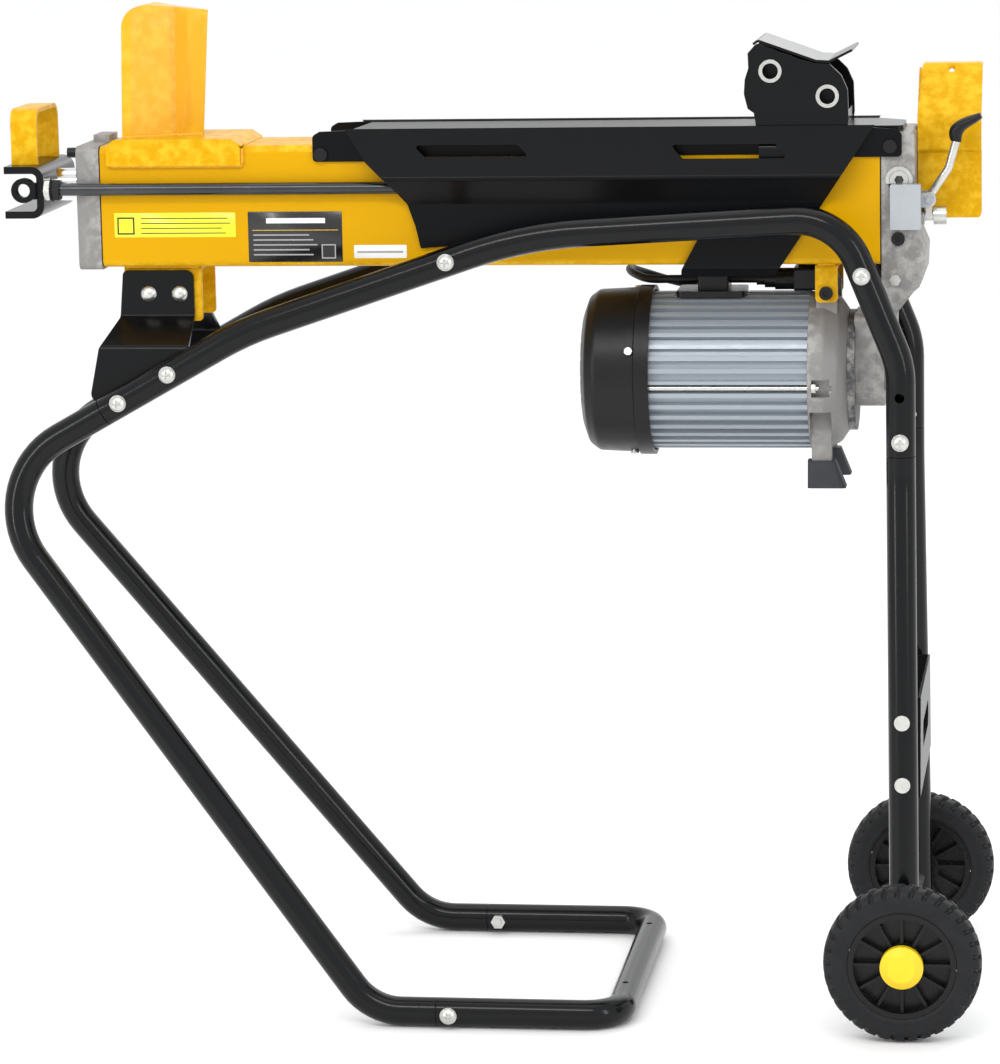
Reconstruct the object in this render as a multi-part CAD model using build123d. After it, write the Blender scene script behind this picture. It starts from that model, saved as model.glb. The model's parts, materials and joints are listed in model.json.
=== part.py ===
"""Electric hydraulic log splitter on a tubular stand with two wheels.

Millimetres, +Z up, +X along the beam towards the valve end, origin on the floor below the middle.
The ram is drawn fully back: the pusher slides along -X towards the fixed wedge.
"""
import math
import os

from build123d import *

os.makedirs("parts", exist_ok=True)

# ---- driving dimensions ---------------------------------------------------------------------
BEAM_LEFT = -381.0
BEAM_RIGHT = 376.0
BEAM_HALF = 50.0
BEAM_LOW = 723.0
BEAM_TOP = 841.0
BEAM_WALL = 4.0

RAM_Z = 800.0
ROD_R = 16.0
BORE_R = 30.0
TUBE_OUTER_R = 35.0
CYLINDER_END = 85.0
PISTON_X = (18.0, 46.0)
SIDE_ROD_R = 6.0
SIDE_ROD_Y = 58.0
RUN_FIT = 0.05

RAIL_Y = 93.0
FOOT_Y = 176.0
STAND_TUBE_R = 14.0
STAND_TUBE_WALL = 1.6
SPIGOT_R = 12.3
FOOT_Z = STAND_TUBE_R
REAR_LEG_X = 397.0
REAR_LEG_LOW_Y = 147.0

WHEEL_R = 75.0
WHEEL_X = 401.3
WHEEL_Y = 189.0
AXLE_R = 6.0

MOTOR_Z = 615.4
MOTOR_R = 76.5
SHAFT_R = 10.0
PUMP_SHAFT_R = 5.0
PUMP_GEAR_DISTANCE = 26.0
PUMP_TEETH = 10

SHEET = 2.5
SLIDE_TOP = 855.0
SLIDE_LOW = 851.0
SLIDE_HALF = 44.0

SWITCH_X = 226.0
SWITCH_Z = 620.0
SWITCH_FACE_Y = 124.0
BUTTON_R = 9.0
BUTTON_SPACING = 30.0

LEVER_PIVOT = (421.5, 783.0)
LEVER_Y = -22.0
SPOOL_Z = 767.0


# ---- helpers ---------------------------------------------------------------------------------
def block(x0, x1, y0, y1, z0, z1):
    """Box between two corners."""
    place = Pos((x0 + x1) / 2, (y0 + y1) / 2, (z0 + z1) / 2)
    return place * Box(abs(x1 - x0), abs(y1 - y0), abs(z1 - z0))


def rod_x(r, x0, x1, y, z):
    """Round bar along X."""
    return Pos((x0 + x1) / 2, y, z) * Rot(0, 90, 0) * Cylinder(r, abs(x1 - x0))


def rod_y(r, y0, y1, x, z):
    """Round bar along Y."""
    return Pos(x, (y0 + y1) / 2, z) * Rot(90, 0, 0) * Cylinder(r, abs(y1 - y0))


def rod_z(r, z0, z1, x, y):
    """Round bar along Z."""
    return Pos(x, y, (z0 + z1) / 2) * Cylinder(r, abs(z1 - z0))


def prism_x(section, x0, x1):
    """Section drawn as (y, z), pushed from x0 to x1."""
    return extrude(Plane.YZ.offset(x0) * section, x1 - x0)


def prism_y(section, y0, y1):
    """Section drawn as (x, z), pushed from y0 to y1."""
    return extrude(Plane.XZ.offset(-y1) * section, y1 - y0)


def outline(points, corners=()):
    """Closed outline; corners is a list of (point index, radius) to round."""
    face = Sketch() + make_face(Polyline(*points, close=True))
    for index, radius in corners:
        spot = Vector(*points[index])
        corner = [v for v in face.vertices() if (Vector(v.X, v.Y) - spot).length < 0.01]
        face = fillet(corner, radius)
    return face


def folded(points, thickness, inner_radius):
    """Section of a folded strip: points run along one skin, the other skin lies to their left."""
    path = [Vector(*p) for p in points]
    normals = []
    for a, b in zip(path, path[1:]):
        d = (b - a).normalized()
        normals.append(Vector(-d.Y, d.X))
    skin = [path[0] + normals[0] * thickness]
    for n0, n1, p in zip(normals, normals[1:], path[1:-1]):
        mitre = n0 + n1
        skin.append(p + mitre * (2 * thickness / mitre.dot(mitre)))
    skin.append(path[-1] + normals[-1] * thickness)
    face = Sketch() + make_face(Polyline(*path, *reversed(skin), close=True))
    for i in range(1, len(path) - 1):
        turn = (path[i] - path[i - 1]).cross(path[i + 1] - path[i]).Z
        inside, outside = (skin[i], path[i]) if turn > 0 else (path[i], skin[i])
        for spot, radius in ((inside, inner_radius), (outside, inner_radius + thickness)):
            corner = [v for v in face.vertices() if (Vector(v.X, v.Y) - spot).length < 0.01]
            face = fillet(corner, radius)
    return face


def ring_x(outer, inner, x0, x1, y, z):
    """Flat ring or tube along X."""
    return rod_x(outer, x0, x1, y, z) - rod_x(inner, x0 - 1, x1 + 1, y, z)


def ring_y(outer, inner, y0, y1, x, z):
    """Flat ring or tube along Y."""
    return rod_y(outer, min(y0, y1), max(y0, y1), x, z) - rod_y(inner, min(y0, y1) - 1, max(y0, y1) + 1, x, z)


def hex_x(flats, x0, x1, y, z):
    """Hexagon bar along X."""
    section = RegularPolygon(flats / 2, 6, major_radius=False)
    return prism_x(Pos(y, z) * section, x0, x1)


def hex_y(flats, y0, y1, x, z):
    """Hexagon bar along Y."""
    section = RegularPolygon(flats / 2, 6, major_radius=False)
    return prism_y(Pos(x, z) * section, min(y0, y1), max(y0, y1))


def pipe(points, radii, outer, inner):
    """Round tube along straight runs joined by arcs."""
    path = FilletPolyline(*points, radius=radii)
    start = Plane(origin=path @ 0, z_dir=path % 0)
    section = Circle(outer) - Circle(inner) if inner else Circle(outer)
    return sweep(start * section, path=path)


def group(pieces):
    """Several separate solids kept in one node."""
    solids = []
    for piece in pieces:
        solids += piece.solids()
    return Compound(children=solids)


def save(name, shape):
    """Write one node."""
    solids = shape.solids()
    body = solids[0] if len(solids) == 1 else Compound(children=solids)
    body.label = name
    export_step(body, f"parts/{name}.step")


# ---- beam ------------------------------------------------------------------------------------
def tank_beam():
    """Rectangular tube that is both the frame and the oil tank, with its welded rail mountings."""
    outer = Pos(0, (BEAM_LOW + BEAM_TOP) / 2) * RectangleRounded(2 * BEAM_HALF, BEAM_TOP - BEAM_LOW, 7)
    inner = Pos(0, (BEAM_LOW + BEAM_TOP) / 2) * RectangleRounded(
        2 * (BEAM_HALF - BEAM_WALL), BEAM_TOP - BEAM_LOW - 2 * BEAM_WALL, 3)
    beam = prism_x(outer - inner, BEAM_LEFT, BEAM_RIGHT)
    for boss in rail_bosses():
        beam += boss
    return beam + rear_cross_tube()


def tank_gaskets():
    """Thin seals at both ends of the tank."""
    outer = Pos(0, (BEAM_LOW + BEAM_TOP) / 2) * RectangleRounded(98, BEAM_TOP - BEAM_LOW - 2, 6)
    hole = Pos(0, RAM_Z) * Circle(TUBE_OUTER_R + 0.2)
    front = prism_x(outer - hole, BEAM_LEFT - 1, BEAM_LEFT)
    oil_hole = Pos(0, RAM_Z) * Circle(5.2)
    rear = prism_x(outer - oil_hole, BEAM_RIGHT, BEAM_RIGHT + 1)
    return group([front, rear])


CAP_LEFT = -405.0
CAP_RIGHT = BEAM_LEFT - 1


def front_cap():
    """Cast cap that holds the cylinder, the rod bush and the rod seal."""
    cap = block(CAP_LEFT, CAP_RIGHT, -51, 51, 720.6, 841.4)
    cap = fillet(cap.edges().filter_by(Axis.X), 6)
    cap = fillet(cap.faces().sort_by(Axis.X)[0].edges(), 1.5)
    cap += block(-399, -383, 4, 40, 840, 848)
    cap -= rod_x(20, CAP_LEFT - 1, CAP_RIGHT + 1, 0, RAM_Z)
    cap -= rod_x(TUBE_OUTER_R + 0.05, -388, CAP_RIGHT + 1, 0, RAM_Z)
    cap -= rod_x(4.1, CAP_LEFT - 1, -391, -22, 833)
    return cap


def rod_bush():
    """Bronze guide for the piston rod."""
    return ring_x(20, ROD_R + RUN_FIT, -404, -388.2, 0, RAM_Z)


def ram_cylinder():
    """Hydraulic cylinder inside the tank, its closed rear end and the feed pipe welded on."""
    cylinder = ring_x(TUBE_OUTER_R, BORE_R, -387.8, CYLINDER_END, 0, RAM_Z)
    head = rod_x(TUBE_OUTER_R, CYLINDER_END, CYLINDER_END + 16, 0, RAM_Z)
    feed = rod_x(5, CYLINDER_END + 15, BEAM_RIGHT + 1, 0, RAM_Z)
    return cylinder + head + feed - rod_x(3.5, CYLINDER_END - 10, BEAM_RIGHT + 5, 0, RAM_Z)


# ---- splitting wedge ---------------------------------------------------------------------------
SADDLE_TOP = 848.0


def wedge_saddle():
    """Thick plate folded over the beam, which carries the wedge."""
    roof = outline([(-370, BEAM_TOP), (-370, 845), (-364, SADDLE_TOP), (-250, SADDLE_TOP), (-239, BEAM_TOP)])
    saddle = prism_y(roof, -55.5, 55.5)
    skirt = outline([(-373.5, 822), (-373.5, 840), (-366, SADDLE_TOP), (-252, SADDLE_TOP), (-241, 840), (-241, 822)],
                    [(0, 3), (2, 5), (3, 5)])
    for y0, y1 in ((-55.5, -BEAM_HALF), (BEAM_HALF, 55.5)):
        saddle += prism_y(skirt, y0, y1)
    return saddle - tank_envelope()


def tank_envelope():
    """Outside of the beam as one solid, to trim what wraps around it."""
    outer = Pos(0, (BEAM_LOW + BEAM_TOP) / 2) * RectangleRounded(2 * BEAM_HALF, BEAM_TOP - BEAM_LOW, 7)
    return prism_x(outer, BEAM_LEFT, BEAM_RIGHT)


def wedge_section(tip, shoulder, wing_start, back, wing):
    """Plan outline of the wedge: sharp edge, bevel, straight blade, wing flaring to the back."""
    half = [(tip, 0), (shoulder, 9), (wing_start, 9.5), (back + 9, wing), (back, wing)]
    return half + [(x, -y) for x, y in reversed(half[1:])]


def splitting_wedge():
    """Fixed wedge, its edge leaning slightly towards the pusher."""
    low = Plane.XY.offset(SADDLE_TOP) * make_face(
        Polyline(*wedge_section(-287.2, -306, -313, -361.5, 35), close=True))
    high = Plane.XY.offset(978) * make_face(
        Polyline(*wedge_section(-279, -295, -310.5, -358, 35), close=True))
    wedge = loft([low, high], ruled=True)
    side = outline([(-361.5, 840), (-358, 978.8), (-279, 969.3), (-277, 840)], [(1, 22)])
    return wedge & prism_y(side, -60, 60)


# ---- log slide and guards ------------------------------------------------------------------------
def slide_rail():
    """T-shaped rail that the pusher grips."""
    plate = [(-133, -SLIDE_HALF), (-127, SLIDE_HALF), (372, SLIDE_HALF), (398, 20), (398, -SLIDE_HALF)]
    rail = extrude(Plane.XY.offset(SLIDE_LOW) * outline(plate, [(3, 6), (4, 6)]), SLIDE_TOP - SLIDE_LOW)
    return rail + block(-128, 372, -30, 30, BEAM_TOP, SLIDE_LOW)


GUARD_RIDGE = (-53.5, 856.5)
GUARD_CREST = (-80.5, 810.0)
GUARD_TUCK = (-54.6, 784.0)


def side_guard(sign):
    """Folded cover over the side rod: sloped upper face, tucked-in lower face and a bottom strap."""
    skin = [GUARD_RIDGE, GUARD_CREST, GUARD_TUCK, (-54.6, 721), (-46, 711.5)]
    section = folded(skin, SHEET, 1.0)
    edge = [(-141, 860), (-116, 826), (-97, 809), (-86, 795), (-78, 783), (-71, 763), (-66, 741), (60, 750),
            (208, 759), (186, 719), (184, 705), (270, 705), (374, 860)]
    panel = prism_x(section, -145, 380) & prism_y(outline(edge, [(4, 8), (8, 6)]), -90, -30)
    for x0, x1, z0, z1 in ((-70, 43, 830, 841), (178, 290, 827, 840)):
        slant = 12
        slot = outline([(x0, z1), (x0 + slant, z0), (x1, z0), (x1 - slant, z1)], [(0, 2), (1, 2), (2, 2), (3, 2)])
        panel -= prism_y(slot, -90, -56)
    left_ear = outline([(-170, 825), (-170, 850), (-163, 854), (-120, 855.5), (-120, 825)], [(0, 4), (1, 5)])
    right_ear = outline([(352, 826), (352, 855.5), (392, 852), (397, 848), (397, 826)], [(3, 4), (4, 4)])
    for ear in (left_ear, right_ear):
        panel += prism_y(ear, -52.8, -50.3)
    panel += block(-125, 357, -51.2, -50.2, 829, 840)
    panel += block(-134, -118, -54.2, -51, 851.5, 855.5)
    panel += block(352, 368, -54.2, -51, 851.5, 855.5)
    for x, z in GUARD_SCREWS:
        panel -= rod_y(3.2, -60, -45, x, z)
    return panel if sign < 0 else mirror(panel, Plane.XZ)


GUARD_SCREWS = ((-162.0, 832.0), (386.0, 836.0))


def cover_screws():
    """Pan head screws in the guard ears, and radial screws in the fan cover."""
    pieces = []
    for sign in (-1, 1):
        for x, z in GUARD_SCREWS:
            head = rod_y(6.5, sign * 52.8, sign * 56, x, z)
            pieces.append(head + rod_y(3, sign * BEAM_HALF, sign * 53, x, z))
    for angle in COVER_SCREW_ANGLES:
        pieces.append(radial_pin(angle, 2, 66, 81) + radial_pin(angle, 3.8, 80.45, 83.4))
    return group(pieces)


# ---- ram -------------------------------------------------------------------------------------------
YOKE_WEB = (-441.0, -434.0)
YOKE_HALF = 66.0
EYE_X = -453.2


def piston_rod():
    """Chromed rod with its piston at the rear end and the threaded neck at the front."""
    rod = rod_x(ROD_R, YOKE_WEB[1], PISTON_X[0] + 1, 0, RAM_Z) + rod_x(BORE_R - RUN_FIT, *PISTON_X, 0, RAM_Z)
    rod -= ring_x(BORE_R + 1, BORE_R - 2, 30, 34, 0, RAM_Z)
    return rod + rod_x(10, YOKE_WEB[0] - 14, YOKE_WEB[1] + 1, 0, RAM_Z)


def ram_yoke():
    """Channel, open to the front, that the piston rod pushes and both side rods hang on, with an eye."""
    skin = [(-473, 773), (YOKE_WEB[1], 773), (YOKE_WEB[1], 823.5), (-473, 823.5)]
    yoke = prism_y(folded(skin, YOKE_WEB[1] - YOKE_WEB[0], 5), -YOKE_HALF, YOKE_HALF)
    yoke -= rod_x(10 + RUN_FIT, -460, -425, 0, RAM_Z)
    for sign in (-1, 1):
        yoke -= rod_x(SIDE_ROD_R + RUN_FIT, -460, -425, sign * SIDE_ROD_Y, RAM_Z)
    eye = rod_y(12, -71, -63, EYE_X, RAM_Z + 0.6) + block(EYE_X + 1.2, YOKE_WEB[0], -71, -63, 792, 808)
    eye -= block(YOKE_WEB[0], -420, -80, -50, 780, 820)
    return yoke + eye - rod_y(6.6, -73, -60, EYE_X, RAM_Z + 0.6)


def pull_handle():
    """Flat strap bent to a grip on top of the yoke."""
    skin = [(-45.5, 823.5), (-45.5, 877.5), (45.5, 877.5), (45.5, 823.5)]
    strap = prism_x(folded(list(reversed(skin)), 4, 10), -470, -444)
    return strap


def side_rod(sign):
    """Round pull rod, its rear end milled flat against the pusher arm."""
    y = sign * SIDE_ROD_Y
    rod = rod_x(SIDE_ROD_R, YOKE_WEB[0] + 0.5, 294, y, RAM_Z)
    milled = block(256, 300, sign * 50, sign * ARM_OUTER, 790, 810)
    rod -= milled
    return rod - rod_y(4.1, sign * 50, sign * 70, PIN_X, RAM_Z)


ARM_OUTER = 60.6
ARM_T = 5.0
PIN_X = 277.0


def ram_fasteners():
    """Nuts on the piston rod and the side rods, and the bolts of the pusher arms."""
    pieces = [hex_x(24, YOKE_WEB[0] - 12, YOKE_WEB[0], 0, RAM_Z) - rod_x(10 + RUN_FIT, -460, -425, 0, RAM_Z)]
    for sign in (-1, 1):
        y = sign * SIDE_ROD_Y
        bore = rod_x(SIDE_ROD_R + RUN_FIT, -436, -415, y, RAM_Z)
        pieces.append(hex_x(19, YOKE_WEB[1], -428.2, y, RAM_Z) - bore)
        pieces.append(rod_x(12, -428, -426.4, y, RAM_Z) - bore)
        pieces.append(hex_x(19, -426.2, -419, y, RAM_Z) - bore)
        bolt = rod_y(4, *sorted((sign * (ARM_OUTER - ARM_T), sign * 62)), PIN_X, RAM_Z)
        pieces.append(bolt + rod_y(7, *sorted((sign * 51, sign * (ARM_OUTER - ARM_T))), PIN_X, RAM_Z))
    return group(pieces)


def pusher_cheek(sign):
    """Side plate of the pusher with an arm that reaches down around the beam to the side rod."""
    inner = ARM_OUTER - ARM_T
    skin = [(-45.6, 936), (-45.6, 853), (-inner, 835), (-inner, 794.2)]
    plate = prism_x(folded(list(reversed(skin)), ARM_T, 2), 240, 360)
    edge = outline([(251.4, 925), (260, 934.7), (300, 919), (315, 914.8), (329, 914.2), (340, 903.5), (346, 890),
                    (346.8, 861), (344, 846), (300, 846), (300, 792), (262, 792), (262, 846), (259.5, 852),
                    (255.5, 875), (252, 908)],
                   [(1, 5), (5, 8), (6, 6), (11, 4), (10, 4)])
    cheek = plate & prism_y(edge, -75, -30)
    for x, z in PUSHER_TUBES:
        cheek -= rod_y(11 + RUN_FIT, -60, -40, x, z)
    cheek -= rod_y(4.1, -70, -40, PIN_X, RAM_Z)
    return cheek if sign < 0 else mirror(cheek, Plane.XZ)


PUSHER_TUBES = ((272.7, 908.0), (326.8, 883.8))


def pusher_crossbars():
    """Slide block with claws under both edges of the rail plate, and two plugged cross tubes above it."""
    base = block(258, 345, -45.5, 45.5, SLIDE_TOP + 0.3, 868)
    for sign in (-1, 1):
        base += block(262, 341, sign * 44.6, sign * 45.5, 850, 866)
        base += block(262, 341, sign * 32, sign * 45.5, 844.5, SLIDE_LOW - 0.3)
    tubes = [ring_y(11, 7.5, -52.2, 52.2, x, z) + rod_y(7.6, -27, 27, x, z) for x, z in PUSHER_TUBES]
    return group([base] + tubes)


def pusher_face():
    """Pushing plate, slightly bowed towards the log."""
    face = outline([(256, 868.2), (250.5, 872), (247, 886), (248, 900), (252, 912), (257, 916), (257, 868.2)],
                   [(2, 10), (3, 8)])
    return prism_y(face, -45.5, 45.5)


def pusher_cover():
    """Sloped top plate with a tail that is bent up at the back."""
    skin = [(257.5, 932.5), (261.5, 935.5), (316, 915.9), (329, 915.2), (351, 926)]
    return prism_y(folded(skin, 2.4, 2.5), -50.6, 50.6)


# ---- valve and lever -----------------------------------------------------------------------------
VALVE_LEFT = BEAM_RIGHT + 1


def valve_body():
    """Cast end block with the control valve, and the lobe that reaches down to the pump."""
    side = outline([(VALVE_LEFT, 849), (VALVE_LEFT, 699), (379, 690), (379, 600), (389, 600), (389, 668), (392, 676),
                    (408, 697), (413, 701), (418, 713), (419, 736), (409, 760), (409, 849)],
                   [(0, 3), (9, 6), (10, 8), (12, 4), (4, 4)])
    body = prism_y(side, -48, 48)
    narrow = outline([(-60, 860), (-60, 702), (-34, 676), (-34, 590), (34, 590), (34, 676), (60, 702), (60, 860)])
    body &= prism_x(narrow, 370, 430)
    body += block(VALVE_LEFT, 398, -30, 30, 849, SLIDE_LOW)
    body -= rod_x(8 + RUN_FIT, 385, 425, LEVER_Y, SPOOL_Z)
    body -= rod_x(3.5, 370, 384, 0, RAM_Z)
    body -= rod_y(10, -49, -42, 394.2, RAM_Z)
    return body


def valve_spool():
    """Spool with two collars that the lever tip sits between."""
    spool = rod_x(8, 391, 413, LEVER_Y, SPOOL_Z) + rod_x(5, 413, 430, LEVER_Y, SPOOL_Z)
    spool += hex_x(17, 413, 417.2, LEVER_Y, SPOOL_Z)
    return spool + rod_x(9, 425.8, 438, LEVER_Y, SPOOL_Z)


def port_block():
    """Zinc block bolted to the near face of the valve body, with the ears and pin of the lever pivot."""
    body = block(386, 415, -60, -48.1, 757, 800)
    body = fillet(body.edges().filter_by(Axis.Y), 1.5)
    arm = outline([(409, 776), (409, 790), (421.5, 790), (428, 783), (421.5, 776)], [(2, 5), (3, 4), (4, 5)])
    for y0, y1 in ((-38, -34.4), (-14.6, -11)):
        body += prism_y(arm, y0, y1)
    body += block(409.3, 412, -50, -11, 776, 790)
    return body + rod_y(3, -40, -9, *LEVER_PIVOT)


def oil_plugs():
    """Washer ring with its hollow plug, screws of the valve body, and the bleed screw of the front cap."""
    washer = ring_y(13, 9.2, -50.4, -48.1, 394.2, 803.5) - block(380, 420, -61, -40, 790, 800.2)
    plug = rod_y(9, -49.6, -44, 394.2, 803.5) - hex_y(8, -52, -46.5, 394.2, 803.5)
    plug -= block(380, 420, -61, -48.05, 790, 800.2)
    screw = rod_y(6.5, -51.5, -48.1, 393, 747.4) - hex_y(5, -53, -49, 393, 747.4)
    low = hex_y(10, -52.5, -48.1, 390, 708)
    bleed = rod_x(5, -419, CAP_LEFT, -22, 833) + rod_x(4, CAP_LEFT - 1, -392, -22, 833)
    return group([washer, plug & rod_y(8.9, -52, -48.1, 394.2, 803.5), screw, low, bleed])


def control_lever():
    """Bent steel lever: hub on the pivot, tip between the spool collars, rod rising to the knob."""
    x, z = LEVER_PIVOT
    hub = rod_y(7, LEVER_Y - 12, LEVER_Y + 7, x, z)
    tip = block(x - 3, x + 3, LEVER_Y - 12, LEVER_Y - 6.2, SPOOL_Z - 4, z)
    tip += rod_y(4, LEVER_Y - 12, LEVER_Y - 6.2, x, SPOOL_Z)
    lever = hub + tip + lever_rod()
    return lever - rod_y(3 + RUN_FIT, LEVER_Y - 20, LEVER_Y + 20, x, z)


def lever_rod():
    """Bent rod of the lever."""
    points = [(422.5, LEVER_Y, 786), (427, LEVER_Y, 793), (440, LEVER_Y - 2, 812), (448, LEVER_Y - 4, 841)]
    return pipe(points, [12, 20], 4, 0)


def lever_knob():
    """Moulded knob, bent forwards like a duck's bill."""
    path = FilletPolyline((447.2, LEVER_Y - 3.9, 838), (449.5, LEVER_Y - 4.2, 852), (471, LEVER_Y - 5, 862.5), radius=7)
    stations = [(0.0, 5.2, 5.2), (0.35, 7.2, 6.4), (0.7, 7.2, 4.8), (1.0, 4.8, 2.9)]
    sections = [Plane(origin=path @ t, z_dir=path % t, x_dir=(0, 1, 0)) * Ellipse(a, b) for t, a, b in stations]
    return loft(sections) - lever_rod()


def control_guard():
    """Yellow sheet hood behind the lever, with its fixing wall against the valve body."""
    skin = [(6, 762), (6, 826), (1, 829), (1, 861), (44, 905), (64, 905)]
    front = prism_x(folded(skin, SHEET, 1.5), 409.5, 470.5)
    shape = outline([(409.5, 760), (409.5, 861), (413, 908), (470.5, 908), (470.5, 760)], [(4, 8), (3, 4), (2, 4)])
    front &= prism_y(shape, -10, 80)
    wall = outline([(6, 762), (6, 826), (3.5, 830), (3.5, 860), (46, 903), (47.5, 762)])
    front += prism_x(wall, 409.5, 412)
    front -= rod_z(3.2, 880, 920, 441, 38)
    return front


# ---- motor and pump --------------------------------------------------------------------------------
HOUSING_X = (154.0, 307.0)
TIE_ANGLES = (-6.5, 83.5, 173.5, 263.5)
TIE_R = 73.0


def around_motor(radius, degrees):
    """Point (y, z) at an angle around the motor shaft, counted from the near side upwards."""
    a = math.radians(degrees)
    return -radius * math.cos(a), MOTOR_Z + radius * math.sin(a)


def motor_housing():
    """Extruded aluminium housing with cooling fins and grooves for the tie bolts."""
    section = Circle(71)
    for i in range(40):
        section += Rot(0, 0, i * 9.0 + 2.5) * Pos(71.5, 0) * Rectangle(10, 4.6)
    section -= Circle(62)
    for angle in TIE_ANGLES:
        y, z = around_motor(TIE_R, angle)
        section -= Pos(y, z - MOTOR_Z) * Circle(4.2)
        y, z = around_motor(TIE_R + 4, angle)
        section -= Pos(y, z - MOTOR_Z) * Rot(0, 0, math.degrees(math.atan2(z - MOTOR_Z, y))) * Rectangle(8, 8.4)
    housing = prism_x(Pos(0, MOTOR_Z) * section, *HOUSING_X)
    housing -= block(176, 246, -30, 30, MOTOR_Z + 73.6, MOTOR_Z + 80)
    return housing


def stator():
    """Laminated core with the end windings."""
    core = ring_x(61.95, 40, 178, 286, 0, MOTOR_Z)
    return core + ring_x(57, 42, 166, 298, 0, MOTOR_Z)


def rotor():
    """Motor shaft with the rotor core."""
    shaft = rod_x(SHAFT_R, 98, 348, 0, MOTOR_Z) + rod_x(39.4, 180, 284, 0, MOTOR_Z)
    return shaft + rod_x(PUMP_SHAFT_R, 347, 370, 0, MOTOR_Z)


def rear_shield():
    """Rear bearing carrier between the housing and the fan cover, with the skirt the cover is screwed to."""
    shield = rod_x(75, 146, HOUSING_X[0], 0, MOTOR_Z) + rod_x(22, 140, 150, 0, MOTOR_Z)
    shield += ring_x(75, 68, 131, 147, 0, MOTOR_Z)
    shield -= rod_x(SHAFT_R + RUN_FIT, 138, 160, 0, MOTOR_Z)
    for angle in TIE_ANGLES:
        shield -= rod_x(2.7, 140, 160, *around_motor(TIE_R, angle))
        shield -= rod_x(6, 130, 146, *around_motor(TIE_R, angle))
    for angle in COVER_SCREW_ANGLES:
        shield -= radial_pin(angle, 2.1, 58, 80)
    return shield


COVER_SCREW_ANGLES = (20.0, 110.0, 200.0, 290.0)
COVER_SCREW_X = 136.0


def radial_pin(angle, radius, r0, r1):
    """Short round bar pointing away from the motor shaft."""
    y, z = around_motor((r0 + r1) / 2, angle)
    return Pos(COVER_SCREW_X, y, z) * Rot(180 - angle, 0, 0) * Rot(90, 0, 0) * Cylinder(radius, r1 - r0)


def fan_cover():
    """Moulded cover over the fan, with air slots in its end."""
    profile = [(87, 0), (87, 58), (92, 72), (101, 78.6), (140, 80.4), (141, 82.6), (155, 82.6), (155, 78.4),
               (143, 78), (103, 76), (95, 70), (89.6, 57), (89.6, 0)]
    cover = revolve(Plane.XZ.offset(0) * Pos(0, 0) * outline(profile, [(2, 7), (3, 8)]), Axis.X)
    for ring_r, count in ((22, 8), (38, 14), (53, 20)):
        for i in range(count):
            cover -= Rot(i * 360 / count, 0, 0) * block(80, 95, -2.2, 2.2, ring_r - 6, ring_r + 6)
    cover = Pos(0, 0, MOTOR_Z) * cover
    for angle in COVER_SCREW_ANGLES:
        cover -= radial_pin(angle, 2.1, 74, 90)
    return cover


def cooling_fan():
    """Radial fan on the rear end of the shaft."""
    fan = rod_x(20, 104, 130, 0, MOTOR_Z) + rod_x(62, 128, 130.5, 0, MOTOR_Z)
    for i in range(8):
        blade = block(106, 129, -1.2, 1.2, 15, 62)
        fan += Pos(0, 0, MOTOR_Z) * Rot(i * 45.0, 0, 0) * blade
    return fan - rod_x(SHAFT_R, 90, 140, 0, MOTOR_Z)


def drive_bell():
    """Cast drive-end shield with its hanger ears and foot lugs."""
    profile = [(307, 0), (307, 76), (322, 76), (336, 70), (344, 58), (344, 0)]
    bell = revolve(outline_xz(profile, [(2, 8), (3, 8)]), Axis.X)
    hollow = revolve(outline_xz([(306, 0), (306, 61.5), (318, 61.5), (326, 54), (330, 30), (330, 0)]), Axis.X)
    bell = Pos(0, 0, MOTOR_Z) * (bell - hollow)
    bell += rod_x(24, 318, 336, 0, MOTOR_Z)
    for sign in (-1, 1):
        ear = outline([(314, 660), (314, 699), (318, 706), (330, 706), (334, 699), (334, 660)], [(2, 3), (3, 3)])
        bell += prism_y(ear, *sorted((sign * 28, sign * 39.8)))
        lug = outline([(309, 533), (309, 585), (328, 585), (328, 533)])
        bell -= block(308.5, 329, *sorted((sign * 46, sign * 80)), 530, 583)
        bell += prism_y(lug, *sorted((sign * 34, sign * 46)))
        bell -= rod_y(4.1, *sorted((sign * 24, sign * 44)), 324, 695.4)
    bell -= rod_x(SHAFT_R + RUN_FIT, 300, 350, 0, MOTOR_Z)
    for angle in TIE_ANGLES:
        bell -= rod_x(2.7, 300, 330, *around_motor(TIE_R, angle))
        y, z = around_motor(TIE_R + 3.4, angle)
        bell -= Pos(319.5, y, z) * Rot(180 - angle, 0, 0) * Box(17, 20, 17)
    return bell


def outline_xz(points, corners=()):
    """Outline drawn as (x, radius), lying in the XZ plane ready to be turned about X."""
    return Plane.XZ * outline(points, corners)


def tie_bolts():
    """Long bolts that clamp both end shields to the housing."""
    pieces = []
    for angle in TIE_ANGLES:
        y, z = around_motor(TIE_R, angle)
        bolt = rod_x(2.5, 140.5, 318, y, z)
        bolt += hex_x(8, 311.05, 315.2, y, z)
        bolt += hex_x(8, 141.5, 145.8, y, z)
        pieces.append(bolt)
    return group(pieces)


def motor_feet():
    """Two rubber feet under the drive end."""
    pieces = []
    for sign in (-1, 1):
        low = Plane.XY.offset(507) * Pos(323.5, sign * 40) * RectangleRounded(37, 26, 4)
        high = Plane.XY.offset(533) * Pos(318.5, sign * 40) * RectangleRounded(27, 18, 4)
        pieces.append(loft([low, high]))
    return group(pieces)


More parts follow.
